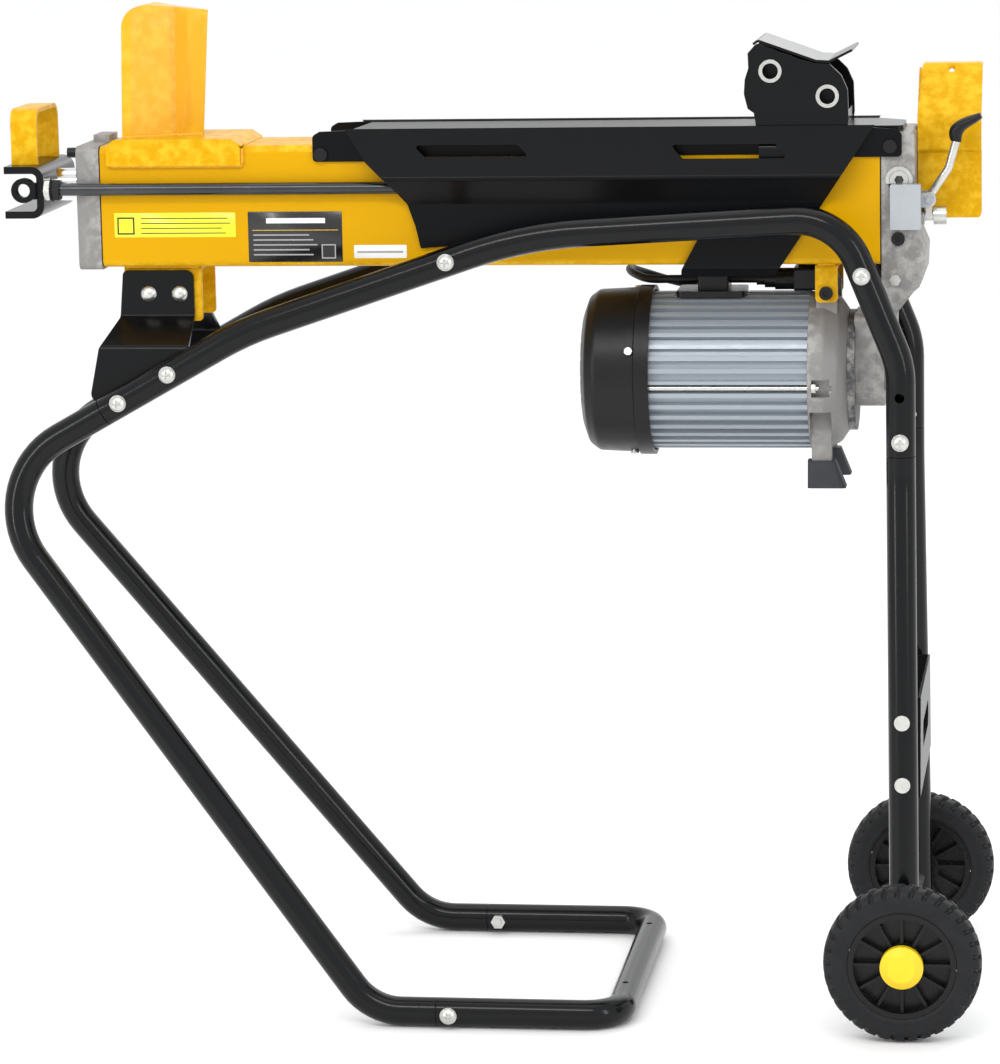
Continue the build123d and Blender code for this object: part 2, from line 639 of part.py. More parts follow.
def motor_hanger():
    """Yellow strap under the beam, its two legs bolted to the drive bell."""
    skin = [(-40.2, 686), (-40.2, 718), (40.2, 718), (40.2, 686)]
    strap = prism_x(folded(skin, 5, 1), 313.5, 335)
    side = outline([(313.5, 686), (313.5, 724), (335, 724), (335, 686)], [(0, 5), (3, 5)])
    strap &= prism_y(side, -50, 50)
    for sign in (-1, 1):
        strap -= rod_y(4.1, *sorted((sign * 36, sign * 50)), 324, 695.4)
    return strap


def terminal_boxes():
    """Moulded box with a square cable tower on the housing, small box under the beam, and its gland."""
    box = block(178, 244, -28, 28, MOTOR_Z + 73.8, 695)
    box = fillet(box.edges().filter_by(Axis.Z), 6)
    box -= rod_x(3, 170, 250, *around_motor(TIE_R, TIE_ANGLES[1]))
    tower = block(198, 228, -18, 18, 694, 711)
    return group([box + fillet(tower.edges().filter_by(Axis.Z), 3), junction_box(), cable_gland()])


def junction_box():
    """Small box under the beam that the motor lead starts from."""
    box = block(291, 312, -16, 38, 694, 716)
    box = fillet(box.edges().filter_by(Axis.X), 3)
    return box + block(294, 310, 4, 30, 715, BEAM_LOW)


def cable_gland():
    """Two ribbed gland nuts and the tail of the gland."""
    gland = rod_x(10.5, 272, 291, 0, 704) + rod_x(8.5, 262, 273, 0, 704)
    gland += rod_x(6, 254, 263, 0, 704)
    for i in range(12):
        gland -= Pos(0, 0, 704) * Rot(i * 30.0, 0, 0) * block(274, 280, -1, 1, 9.3, 12)
        gland -= Pos(0, 0, 704) * Rot(i * 30.0, 0, 0) * block(283, 289, -1, 1, 9.3, 12)
    return gland - rod_x(4.05, 250, 275, 0, 704)


SWITCH_LEAD = [(197.9, 0, 704), (172, 0, 704), (146, 14, 702), (128, 38, 706), (122, 66, 708), (134, 92, 700),
               (160, 104, 690), (190, 104, 684), (212, 104, 672), (214, 104, 660)]


def motor_leads():
    """Short lead from the gland, and the lead that loops below the beam into the switch box."""
    radii = []
    for a, b, c in zip(SWITCH_LEAD, SWITCH_LEAD[1:], SWITCH_LEAD[2:]):
        first = Vector(*b) - Vector(*a)
        second = Vector(*c) - Vector(*b)
        half_turn = math.radians(first.get_angle(second)) / 2
        radii.append(0.45 * min(first.length, second.length) / math.tan(half_turn))
    return group([rod_x(4, 228, 274, 0, 704), pipe(SWITCH_LEAD, radii, 4, 0)])


PUMP_Z = MOTOR_Z + PUMP_GEAR_DISTANCE / 2


def pump_block(x0, x1, half_y, half_z, corner):
    """Rounded block centred on the pump."""
    section = Pos(0, PUMP_Z) * RectangleRounded(2 * half_y, 2 * half_z, corner)
    return prism_x(section, x0, x1)


def pump_body():
    """Gear pump body with its round mounting flange and the figure-eight cavity."""
    body = pump_block(350, 371, 36, 44.5, 8) + rod_x(58.6, 344, 351, 0, MOTOR_Z)
    for z in (MOTOR_Z, MOTOR_Z + PUMP_GEAR_DISTANCE):
        body -= rod_x(GEAR_TIP_R + 0.15, 355, 372, 0, z)
    body -= rod_x(SHAFT_R + 0.3, 340, 348.3, 0, MOTOR_Z) + rod_x(PUMP_SHAFT_R + 0.1, 340, 356, 0, MOTOR_Z)
    return body - rod_x(DRIVEN_PIN_R + RUN_FIT, 351, 356, 0, MOTOR_Z + PUMP_GEAR_DISTANCE)


def pump_cover():
    """Rear cover of the pump, bolted against the valve casting."""
    cover = pump_block(371, 378.8, 36, 44.5, 8)
    return cover - rod_x(DRIVEN_PIN_R + RUN_FIT, 370, 375, 0, MOTOR_Z + PUMP_GEAR_DISTANCE)


GEAR_PITCH_R = PUMP_GEAR_DISTANCE / 2
GEAR_MODULE = 2 * GEAR_PITCH_R / PUMP_TEETH
GEAR_TIP_R = GEAR_PITCH_R + 0.85 * GEAR_MODULE
DRIVEN_PIN_R = 6.0


def gear_section(turn):
    """Spur gear outline with slim straight-sided teeth."""
    root_r = GEAR_PITCH_R - 1.25 * GEAR_MODULE
    section = Circle(root_r)
    pitch = 2 * math.pi * GEAR_PITCH_R / PUMP_TEETH
    tooth = outline([(root_r - 1, -0.31 * pitch), (GEAR_PITCH_R, -0.22 * pitch), (GEAR_TIP_R, -0.10 * pitch),
                     (GEAR_TIP_R, 0.10 * pitch), (GEAR_PITCH_R, 0.22 * pitch), (root_r - 1, 0.31 * pitch)])
    for i in range(PUMP_TEETH):
        section += Rot(0, 0, turn + i * 360 / PUMP_TEETH) * tooth
    return section & Circle(GEAR_TIP_R)


def pump_drive_gear():
    """Pump gear on the end of the motor shaft."""
    section = Pos(0, MOTOR_Z) * gear_section(90)
    return prism_x(section, 355.3, 370.7) - rod_x(PUMP_SHAFT_R, 350, 372, 0, MOTOR_Z)


def pump_driven_gear():
    """Idler gear with its own journals."""
    z = MOTOR_Z + PUMP_GEAR_DISTANCE
    section = Pos(0, z) * gear_section(90 + 180 / PUMP_TEETH)
    return prism_x(section, 355.3, 370.7) + rod_x(DRIVEN_PIN_R, 351.3, 374.7, 0, z)


# ---- switch ----------------------------------------------------------------------------------------
SWITCH_HALF_X = 38.0
SWITCH_HALF_Z = 40.0


def switch_box():
    """Hollow switch housing on the far side of the motor, with its foot and a recessed mains inlet."""
    x0, x1 = SWITCH_X - SWITCH_HALF_X, SWITCH_X + SWITCH_HALF_X
    z0, z1 = SWITCH_Z - SWITCH_HALF_Z, SWITCH_Z + SWITCH_HALF_Z
    box = fillet(block(x0, x1, 84, SWITCH_FACE_Y, z0, z1).edges().filter_by(Axis.Y), 8)
    box = fillet(box.faces().sort_by(Axis.Y)[-1].edges(), 2)
    box -= block(x0 + 3, x1 - 3, 88, SWITCH_FACE_Y - 3, z0 + 3, z1 - 3)
    foot = block(x0 + 10, x1 - 10, 70, 85, SWITCH_Z - 20, SWITCH_Z + 20)
    foot -= rod_x(MOTOR_R + 0.1, 100, 350, 0, MOTOR_Z)
    box += foot
    for z in button_heights():
        box -= rod_y(BUTTON_R + 0.15, 110, 130, SWITCH_X, z)
    inlet = ring_x(15, 12, x0 - 22, x0 - 4, 104, SWITCH_Z) + rod_x(15, x0 - 5, x0 + 1, 104, SWITCH_Z)
    for y, z in ((99, -4), (109, -4), (104, 5)):
        inlet += rod_x(2, x0 - 12, x0 - 4, y, SWITCH_Z + z)
    return box + inlet - rod_z(4.05, z1 - 5, z1 + 5, 214, 104)


def button_heights():
    """Centre heights of the start and stop buttons."""
    return SWITCH_Z + BUTTON_SPACING / 2, SWITCH_Z - BUTTON_SPACING / 2


def push_button(z):
    """Cap with a retaining flange behind the wall."""
    cap = fillet(rod_y(BUTTON_R, 119, 130, SWITCH_X, z).faces().sort_by(Axis.Y)[-1].edges(), 1)
    return cap + rod_y(BUTTON_R + 2.4, 116, 120.5, SWITCH_X, z)


# ---- stand -------------------------------------------------------------------------------------------
RAIL_PATH = [(-375.5, 586.9), (-235, 665), (40, 757), (340, 773), (REAR_LEG_X, 632), (REAR_LEG_X, 545)]
RAIL_RADII = [300, 420, 62, 85]
LEG_BEND = (-503.0, 516.0)
FOOT_LEFT = -112.0
FOOT_JOINT = -48.0
FOOT_RIGHT = 128.0
SPIGOT = 40.0
TUBE_GAP = 0.8


def towards(a, b, distance):
    """Point at a distance from a on the way to b."""
    a, b = Vector(*a), Vector(*b)
    return a + (b - a).normalized() * distance


def side_rail(sign):
    """Upper tube along the beam, bent down to the wheel leg."""
    points = [Vector(x, sign * RAIL_Y, z) for x, z in RAIL_PATH]
    points[0] = towards(points[0], points[1], TUBE_GAP)
    points[-1] = towards(points[-1], points[-2], TUBE_GAP)
    rail = pipe(points, RAIL_RADII, STAND_TUBE_R, STAND_TUBE_R - STAND_TUBE_WALL)
    for x, z in RAIL_BOLTS:
        rail -= rod_y(4.1, *sorted((sign * 70, sign * 120)), x, z)
    rail -= rod_y(4.6, *sorted((sign * RAIL_Y, sign * 120)), *BUTTON_HOLE)
    return rail


RAIL_BOLTS = ((-358.3, 597.4), (-308.5, 625.4), (-34.3, 733.4), (361.4, 718.6), (REAR_LEG_X, 560.0))


BUTTON_HOLE = (396.5, 602.5)


def spigoted(points, radii, spigots, length):
    """Bent tube with a thinner spigot at the start, the end or both, and one bore right through."""
    outer = pipe(points, radii, STAND_TUBE_R, 0)
    through = [Vector(*p) for p in points]
    if "start" in spigots:
        through[0] = towards(through[1], through[0], (through[0] - through[1]).length + length)
        outer += pipe_run(through[0], Vector(*points[0]), SPIGOT_R)
    if "end" in spigots:
        through[-1] = towards(through[-2], through[-1], (through[-1] - through[-2]).length + length)
        outer += pipe_run(Vector(*points[-1]), through[-1], SPIGOT_R)
    return outer - pipe(through, radii, SPIGOT_R - STAND_TUBE_WALL, 0)


def front_leg(sign):
    """Tube from the front end of the side rail, round the front bend and down to the floor hoop."""
    joint = (RAIL_PATH[0][0], sign * RAIL_Y, RAIL_PATH[0][1])
    bend = (LEG_BEND[0], sign * RAIL_Y, LEG_BEND[1])
    foot = (FOOT_LEFT, sign * FOOT_Y, FOOT_Z)
    end = (FOOT_JOINT, sign * FOOT_Y, FOOT_Z)
    leg = spigoted([joint, bend, foot, end], [80, 60], ("start", "end"), SPIGOT)
    leg -= rod_y(4.1, *sorted((sign * 70, sign * 120)), *RAIL_BOLTS[0])
    return leg - rod_y(4.1, *sorted((sign * 150, sign * 200)), HOOP_BOLT_X, FOOT_Z)


def pipe_run(a, b, radius):
    """Straight round bar between two points."""
    return extrude(Plane(origin=a, z_dir=b - a) * Circle(radius), (b - a).length)


HOOP_BOLT_X = FOOT_JOINT + 13


def floor_hoop():
    """U-shaped tube on the floor."""
    start = FOOT_JOINT + TUBE_GAP
    points = [(start, -FOOT_Y, FOOT_Z), (FOOT_RIGHT, -FOOT_Y, FOOT_Z), (FOOT_RIGHT, FOOT_Y, FOOT_Z),
              (start, FOOT_Y, FOOT_Z)]
    hoop = pipe(points, [34, 34], STAND_TUBE_R, STAND_TUBE_R - STAND_TUBE_WALL)
    for sign in (-1, 1):
        hoop -= rod_y(4.1, *sorted((sign * 150, sign * 200)), HOOP_BOLT_X, FOOT_Z)
        hoop -= rod_z(3, 20, 32, FOOT_RIGHT, sign * 110)
    return hoop


def wheel_leg(sign):
    """Tube from the rear end of the side rail down to the axle, splayed outwards."""
    top = (REAR_LEG_X, sign * RAIL_Y, 545)
    kink = (REAR_LEG_X, sign * RAIL_Y, 520)
    foot = (WHEEL_X, sign * REAR_LEG_LOW_Y, 54)
    leg = spigoted([top, kink, foot], [150], ("start",), SPIGOT - 9)
    leg -= rod_y(4.1, *sorted((sign * 70, sign * 120)), *RAIL_BOLTS[4])
    leg -= rod_y(AXLE_R + 0.1, *sorted((sign * 100, sign * 180)), WHEEL_X, WHEEL_R)
    for z in BRACE_BOLT_Z:
        y = leg_y(z)
        leg -= rod_y(3.1, *sorted((sign * (y - 25), sign * (y + 25))), leg_x(z), z)
    return leg


def leg_y(z):
    """Distance of a wheel leg's centre from the middle at a height."""
    return RAIL_Y + (REAR_LEG_LOW_Y - RAIL_Y) * (520 - z) / (520 - 54)


def leg_x(z):
    """Place of a wheel leg's centre along the beam at a height."""
    return REAR_LEG_X + (WHEEL_X - REAR_LEG_X) * (520 - z) / (520 - 54)


BRACE_BOLT_Z = (236.0, 295.0)
BRACE_Z = (218.0, 313.0)


def leg_brace():
    """Cross plate between the wheel legs, flanged along both tubes."""
    z0, z1 = BRACE_Z
    gap = STAND_TUBE_R + 0.4
    y0, y1 = leg_y(z0) - gap, leg_y(z1) - gap
    web = outline([(-y0, z0), (y0, z0), (y1, z1), (-y1, z1)])
    window = Pos(0, (z0 + z1) / 2) * RectangleRounded(110, 26, 10)
    brace = prism_x(web - window, 413, 413 + SHEET)
    for sign in (-1, 1):
        flange = outline([(sign * y0, z0), (sign * (y0 - SHEET), z0), (sign * (y1 - SHEET), z1), (sign * y1, z1)])
        brace += prism_x(flange, 386, 413 + SHEET)
        for z in BRACE_BOLT_Z:
            brace -= rod_y(3.1, *sorted((sign * 90, sign * 125)), leg_x(z), z)
    return brace


def bolt_head(sign, y, x, z):
    """Washer and domed cross-recess head outside a tube, seen from its own side."""
    washer = rod_y(8.2, *sorted((sign * y, sign * (y + 1.6))), x, z)
    return washer + Pos(x, sign * (y + 1.5), z) * Rot(-90 * sign, 0, 0) * cross_head()


def cross_head():
    """Pan head with a cross recess, rising along Z."""
    head = Pos(0, 0, -4.4) * Sphere(10) & Pos(0, 0, 2.8) * Cylinder(7.2, 5.6)
    return head - Pos(0, 0, 5.2) * (Box(8.4, 1.6, 3) + Box(1.6, 8.4, 3))


def stand_bolts():
    """M8 bolts of the stand: rail to plates, rail to beam, and tube joints."""
    pieces = []
    for sign in (-1, 1):
        for (x, z), depth in zip(RAIL_BOLTS, (66, 66, 58, 66, 70.5)):
            shank = rod_y(4, *sorted((sign * depth, sign * (RAIL_Y + 15))), x, z)
            pieces.append(bolt_head(sign, RAIL_Y + STAND_TUBE_R, x, z) + shank)
        shank = rod_y(4, *sorted((sign * (FOOT_Y - 22), sign * (FOOT_Y + 15))), HOOP_BOLT_X, FOOT_Z)
        pieces.append(bolt_head(sign, FOOT_Y + STAND_TUBE_R, HOOP_BOLT_X, FOOT_Z) + shank)
    return pieces


def stand_nuts():
    """Nuts on the inner side of the bolted joints."""
    pieces = []
    for sign in (-1, 1):
        spots = [(RAIL_BOLTS[0], 68.6, 74.4), (RAIL_BOLTS[1], 68.6, 74.4), (RAIL_BOLTS[4], 72, 78.8)]
        spots.append(((HOOP_BOLT_X, FOOT_Z), FOOT_Y - 21, FOOT_Y - 14.2))
        spots += [((x, CARRIAGE_Z), 23, 29.3) for x in CARRIAGE_X]
        for (x, z), y0, y1 in spots:
            nut = hex_y(13, *sorted((sign * y0, sign * y1)), x, z)
            pieces.append(nut - rod_y(4.05, *sorted((sign * (y0 - 2), sign * (y1 + 2))), x, z))
    return pieces


def brace_screws():
    """Screws through the wheel legs into the brace flanges."""
    pieces = []
    for sign in (-1, 1):
        for z in BRACE_BOLT_Z:
            y = leg_y(z)
            screw = rod_y(3, *sorted((sign * (y - 19), sign * (y + 15.5))), leg_x(z), z)
            pieces.append(screw + rod_y(7.5, *sorted((sign * (y + 15.1), sign * (y + 18.2))), leg_x(z), z))
    return pieces


def hanger_bolts():
    """Socket screws through the hanger legs."""
    pieces = []
    for sign in (-1, 1):
        bolt = rod_y(4, *sorted((sign * 28, sign * 46)), 324, 695.4)
        bolt += rod_y(6.5, *sorted((sign * 45.3, sign * 51)), 324, 695.4)
        pieces.append(bolt - hex_y(6, *sorted((sign * 48, sign * 53)), 324, 695.4))
    return pieces


def carriage_bolts():
    """Round-head bolts through the foot plates and the channel."""
    pieces = []
    for sign in (-1, 1):
        for x in CARRIAGE_X:
            dome = Pos(x, sign * 37.7, CARRIAGE_Z) * Rot(-90 * sign, 0, 0) * head_dome()
            pieces.append(dome + rod_y(4, *sorted((sign * 22, sign * 38)), x, CARRIAGE_Z))
    return pieces


def head_dome():
    """Shallow dome that rises along Z."""
    dome = Pos(0, 0, -6.4) * Sphere(10.2)
    return dome & Pos(0, 0, 2) * Cylinder(8, 4)


def frame_fasteners():
    """All bolts and nuts of the stand, the foot plates, the wheel leg brace and the motor hanger."""
    return group(stand_bolts() + stand_nuts() + brace_screws() + hanger_bolts() + carriage_bolts())


def rail_bosses():
    """Threaded bosses on the beam sides for the middle rail bolts."""
    x, z = RAIL_BOLTS[2]
    pieces = []
    for sign in (-1, 1):
        boss = rod_y(7.5, *sorted((sign * (BEAM_HALF - 1), sign * (RAIL_Y - STAND_TUBE_R - 0.1))), x, z)
        pieces.append(boss - rod_y(4.05, *sorted((sign * 57, sign * 90)), x, z))
    return pieces


def rear_cross_tube():
    """Cross tube between the side rails, welded to the underside of the beam."""
    x, z = RAIL_BOLTS[3]
    tube = rod_y(6, -78.9, 78.9, x, z)
    for sign in (-1, 1):
        tube += block(x - 9, x + 9, *sorted((sign * 18, sign * 24)), z, BEAM_LOW + 1)
        tube -= rod_y(4.05, *sorted((sign * 65, sign * 80)), x, z)
    return tube


def foot_channel():
    """Yellow channel under the front of the beam."""
    skin = [(-33.5, 668.3), (-33.5, BEAM_LOW), (33.5, BEAM_LOW), (33.5, 668.3)]
    channel = prism_x(folded(list(reversed(skin)), 4, 2), -364, -287)
    side = outline([(-364, 668.3), (-364, 724), (-287, 724), (-287, 668.3)], [(0, 4), (3, 4)])
    channel &= prism_y(side, -40, 40)
    for x in CARRIAGE_X:
        channel -= rod_y(4.1, -45, 45, x, CARRIAGE_Z)
    return channel


CARRIAGE_X = (-339.5, -308.6)
CARRIAGE_Z = 695.4


def foot_plate(sign):
    """Black plate that kicks outwards from the channel to the side rail."""
    skin = [(-33.6, 720), (-33.6, 672), (-74.6, 646), (-74.6, 570)]
    plate = prism_x(folded(list(reversed(skin)), 4, 3), -400, -280)
    edge = outline([(-364.5, 718.5), (-368.5, 672), (-382, 647), (-391.5, 601), (-376, 577), (-293, 623),
                    (-293, 647), (-294.5, 672), (-294.5, 718.5)],
                   [(0, 5), (3, 8), (8, 8), (4, 4)])
    plate &= prism_y(edge, -90, -20)
    for x in CARRIAGE_X:
        plate -= rod_y(4.1, -45, -30, x, CARRIAGE_Z)
    for x, z in RAIL_BOLTS[:2]:
        plate -= rod_y(4.1, -90, -60, x, z)
    return plate if sign < 0 else mirror(plate, Plane.XZ)


# ---- wheels --------------------------------------------------------------------------------------------
def axle():
    """Steel axle through both wheel legs, with spacers inside and washers and nuts outside the wheels."""
    pieces = [rod_y(AXLE_R, -213, 213, WHEEL_X, WHEEL_R)]
    for sign in (-1, 1):
        pieces.append(ring_y(9, AXLE_R, sign * 160.2, sign * 168.7, WHEEL_X, WHEEL_R))
        pieces.append(ring_y(11, AXLE_R, sign * 203.3, sign * 205, WHEEL_X, WHEEL_R))
        nut = hex_y(17, sign * 205, sign * 212, WHEEL_X, WHEEL_R)
        pieces.append(nut - rod_y(AXLE_R, *sorted((sign * 200, sign * 220)), WHEEL_X, WHEEL_R))
    return group(pieces)


def wheel_rim(sign):
    """Moulded rim with twelve radial ribs on a thin web."""
    def turned(profile):
        face = Plane.XY * outline(profile)
        return revolve(face, Axis.Y)
    rim = turned([(46, -16), (51.4, -16), (51.4, -12), (49.6, -9), (49.6, 9), (51.4, 12), (51.4, 16), (46, 16)])
    rim += turned([(AXLE_R + RUN_FIT, -20), (19, -20), (19, 13), (14, 13), (14, 14), (AXLE_R + RUN_FIT, 14)])
    rim += turned([(18, -2), (47, -2), (47, 1), (18, 1)])
    for i in range(12):
        rim += Rot(0, i * 30.0, 0) * block(17, 47, -11, 11, -1.5, 1.5)
    return Pos(WHEEL_X, sign * WHEEL_Y, WHEEL_R) * (rim if sign > 0 else mirror(rim, Plane.XZ))


def tyre(sign):
    """Solid rubber tyre with rounded shoulders."""
    profile = [(51.5, -16), (60, -17.5), (72, -14), (WHEEL_R, -6), (WHEEL_R, 6), (72, 14), (60, 17.5), (51.5, 16),
               (51.5, 12.1), (49.7, 9.1), (49.7, -9.1), (51.5, -12.1)]
    ring = revolve(outline(profile, [(1, 5), (2, 6), (3, 6), (4, 6), (5, 6), (6, 5)]), Axis.Y)
    return Pos(WHEEL_X, sign * WHEEL_Y, WHEEL_R) * ring


def hub_cap(sign):
    """Yellow domed cap over the axle nut."""
    shell = revolve(outline([(0, 28), (13, 27), (20.5, 21), (20.5, 13.3), (14.2, 13.3), (14.2, 22.5), (0, 25.5)]), Axis.Y)
    return Pos(WHEEL_X, sign * WHEEL_Y, WHEEL_R) * (shell if sign > 0 else mirror(shell, Plane.XZ))


# ---- write every node ---------------------------------------------------------------------------------
SINGLE = [tank_beam, tank_gaskets, front_cap, rod_bush, ram_cylinder, wedge_saddle, splitting_wedge, slide_rail,
          cover_screws, piston_rod, ram_yoke, pull_handle, ram_fasteners, pusher_crossbars, pusher_face,
          pusher_cover, valve_body, valve_spool, port_block, oil_plugs, control_lever, lever_knob, control_guard,
          motor_housing, stator, rotor, rear_shield, fan_cover, cooling_fan, drive_bell, tie_bolts, motor_feet,
          motor_hanger, terminal_boxes, motor_leads, pump_body, pump_cover, pump_drive_gear, pump_driven_gear,
          switch_box, floor_hoop, leg_brace, foot_channel, frame_fasteners, axle]
MIRRORED = {"side_guards": side_guard, "side_rods": side_rod, "pusher_cheeks": pusher_cheek,
            "side_rails": side_rail, "front_legs": front_leg, "wheel_legs": wheel_leg, "foot_plates": foot_plate}
WHEEL_PARTS = [wheel_rim, tyre, hub_cap]

for maker in SINGLE:
    save(maker.__name__, maker())
for pair_name, maker in MIRRORED.items():
    save(pair_name, group([maker(sign) for sign in (-1, 1)]))
for maker in WHEEL_PARTS:
    for side_name, side_sign in (("near", -1), ("far", 1)):
        save(f"{maker.__name__}_{side_name}", maker(side_sign))
for button_name, button_z in zip(("start_button", "stop_button"), button_heights()):
    save(button_name, push_button(button_z))
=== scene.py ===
"""Studio picture of the log splitter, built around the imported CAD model."""
import json
import math

import bmesh
import bpy
from mathutils import Matrix, Vector


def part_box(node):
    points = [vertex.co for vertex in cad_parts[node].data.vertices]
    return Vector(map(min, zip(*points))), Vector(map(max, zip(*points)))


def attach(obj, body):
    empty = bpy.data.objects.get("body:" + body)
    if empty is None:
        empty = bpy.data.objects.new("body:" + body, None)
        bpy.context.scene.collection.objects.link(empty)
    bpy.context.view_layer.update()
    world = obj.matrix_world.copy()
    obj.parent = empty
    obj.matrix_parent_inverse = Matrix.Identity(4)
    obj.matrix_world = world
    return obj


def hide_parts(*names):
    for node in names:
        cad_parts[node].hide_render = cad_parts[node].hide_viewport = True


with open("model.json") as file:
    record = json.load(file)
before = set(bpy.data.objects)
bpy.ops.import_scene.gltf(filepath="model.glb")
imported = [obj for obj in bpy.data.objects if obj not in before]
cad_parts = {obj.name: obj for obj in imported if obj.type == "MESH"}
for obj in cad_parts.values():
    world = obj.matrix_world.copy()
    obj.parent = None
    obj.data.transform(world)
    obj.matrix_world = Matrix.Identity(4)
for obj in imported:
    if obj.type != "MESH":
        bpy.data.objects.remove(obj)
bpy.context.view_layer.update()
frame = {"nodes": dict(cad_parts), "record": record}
NODES = frame["nodes"]


# ---- materials ---------------------------------------------------------------------------------
def linear(r, g, b):
    """sRGB 0-255 to the linear colour a shader wants."""
    def one(v):
        v /= 255
        return v / 12.92 if v <= 0.04045 else ((v + 0.055) / 1.055) ** 2.4
    return one(r), one(g), one(b), 1.0


class Surface:
    """A principled material with its colour, roughness and bump built up from noise layers."""

    def __init__(self, name, color, roughness, metallic=0.0, coat=0.0, edge=0.0007, specular=0.5):
        self.name = name
        self.mat = bpy.data.materials.new("look_" + name)
        self.mat.use_nodes = True
        self.tree = self.mat.node_tree
        self.shader = self.tree.nodes["Principled BSDF"]
        self.shader.inputs["Metallic"].default_value = metallic
        self.shader.inputs["Coat Weight"].default_value = coat
        self.shader.inputs["Coat Roughness"].default_value = 0.1
        self.shader.inputs["Specular IOR Level"].default_value = specular
        self.where = self.node("ShaderNodeTexCoord").outputs["Object"]
        self.color = self.node("ShaderNodeRGB").outputs[0]
        self.color.default_value = color
        self.flat_rough = self.node("ShaderNodeValue")
        self.rough = self.flat_rough.outputs[0]
        self.rough.default_value = roughness
        self.normal = None
        if edge:
            bevel = self.node("ShaderNodeBevel")
            bevel.samples = 4
            bevel.inputs["Radius"].default_value = edge
            self.normal = bevel.outputs["Normal"]

    def node(self, kind, **values):
        made = self.tree.nodes.new(kind)
        for key, value in values.items():
            setattr(made, key, value)
        return made

    def link(self, a, b):
        self.tree.links.new(a, b)

    def noise(self, scale, detail=3.0, roughness=0.5, stretch=(1, 1, 1)):
        place = self.node("ShaderNodeMapping")
        place.inputs["Scale"].default_value = stretch
        self.link(self.where, place.inputs["Vector"])
        made = self.node("ShaderNodeTexNoise")
        made.inputs["Scale"].default_value = scale
        made.inputs["Detail"].default_value = detail
        made.inputs["Roughness"].default_value = roughness
        self.link(place.outputs["Vector"], made.inputs["Vector"])
        return made.outputs["Fac"]

    def cells(self, scale):
        made = self.node("ShaderNodeTexVoronoi")
        made.inputs["Scale"].default_value = scale
        self.link(self.where, made.inputs["Vector"])
        return made.outputs["Distance"]

    def ramp(self, value, low, high, a=0.0, b=1.0):
        made = self.node("ShaderNodeMapRange")
        made.inputs["From Min"].default_value = low
        made.inputs["From Max"].default_value = high
        made.inputs["To Min"].default_value = a
        made.inputs["To Max"].default_value = b
        self.link(value, made.inputs["Value"])
        return made.outputs["Result"]

    def tint(self, factor, color, kind="MIX"):
        """Mixes a colour in where factor is high."""
        made = self.node("ShaderNodeMix", data_type="RGBA", blend_type=kind)
        self.link(factor, made.inputs["Factor"])
        self.link(self.color, made.inputs[6])
        made.inputs[7].default_value = color
        self.color = made.outputs[2]
        return self

    def vary_rough(self, value, amount):
        """Adds amount times (value - 0.5) to the roughness."""
        made = self.node("ShaderNodeMath", operation="MULTIPLY_ADD", use_clamp=True)
        shift = self.node("ShaderNodeMath", operation="SUBTRACT")
        self.link(value, shift.inputs[0])
        shift.inputs[1].default_value = 0.5
        self.link(shift.outputs[0], made.inputs[0])
        made.inputs[1].default_value = amount
        self.link(self.rough, made.inputs[2])
        self.rough = made.outputs[0]
        return self

    def bump(self, height, distance, strength=1.0):
        made = self.node("ShaderNodeBump")
        made.inputs["Distance"].default_value = distance
        made.inputs["Strength"].default_value = strength
        self.link(height, made.inputs["Height"])
        if self.normal is not None:
            self.link(self.normal, made.inputs["Normal"])
        self.normal = made.outputs["Normal"]
        return self

    def facing_up(self, low=0.3, high=1.0, amount=1.0):
        """High on faces that look up, broken up with noise."""
        geometry = self.node("ShaderNodeNewGeometry")
        split = self.node("ShaderNodeSeparateXYZ")
        self.link(geometry.outputs["Normal"], split.inputs[0])
        up = self.ramp(split.outputs["Z"], low, high, 0.0, amount)
        made = self.node("ShaderNodeMath", operation="MULTIPLY", use_clamp=True)
        self.link(up, made.inputs[0])
        self.link(self.ramp(self.noise(38, 6, 0.7), 0.35, 0.7), made.inputs[1])
        return made.outputs[0]

    def band(self, axis, low, high, soft=0.004, amount=0.55):
        """High between two places along an axis of the object."""
        split = self.node("ShaderNodeSeparateXYZ")
        self.link(self.where, split.inputs[0])
        made = self.node("ShaderNodeMath", operation="MULTIPLY", use_clamp=True)
        self.link(self.ramp(split.outputs[axis], low - soft, low, 0.0, amount), made.inputs[0])
        self.link(self.ramp(split.outputs[axis], high, high + soft, 1.0, 0.0), made.inputs[1])
        return made.outputs[0]

    def edge_wear_and_highlight(self, low=0.53, high=0.6, amount=1.0):
        """High on sharp edges only: painted highlights on the paint, rubbed edges on the castings."""
        geometry = self.node("ShaderNodeNewGeometry")
        edge = self.ramp(geometry.outputs["Pointiness"], low, high, 0.0, amount)
        made = self.node("ShaderNodeMath", operation="MULTIPLY", use_clamp=True)
        self.link(edge, made.inputs[0])
        self.link(self.ramp(self.noise(90, 4, 0.6), 0.42, 0.62), made.inputs[1])
        return made.outputs[0]

    def done(self):
        self.link(self.color, self.shader.inputs["Base Color"])
        if self.rough == self.flat_rough.outputs[0]:
            self.shader.inputs["Roughness"].default_value = self.rough.default_value
        else:
            self.link(self.rough, self.shader.inputs["Roughness"])
        if self.normal is not None:
            self.link(self.normal, self.shader.inputs["Normal"])
        return self.mat


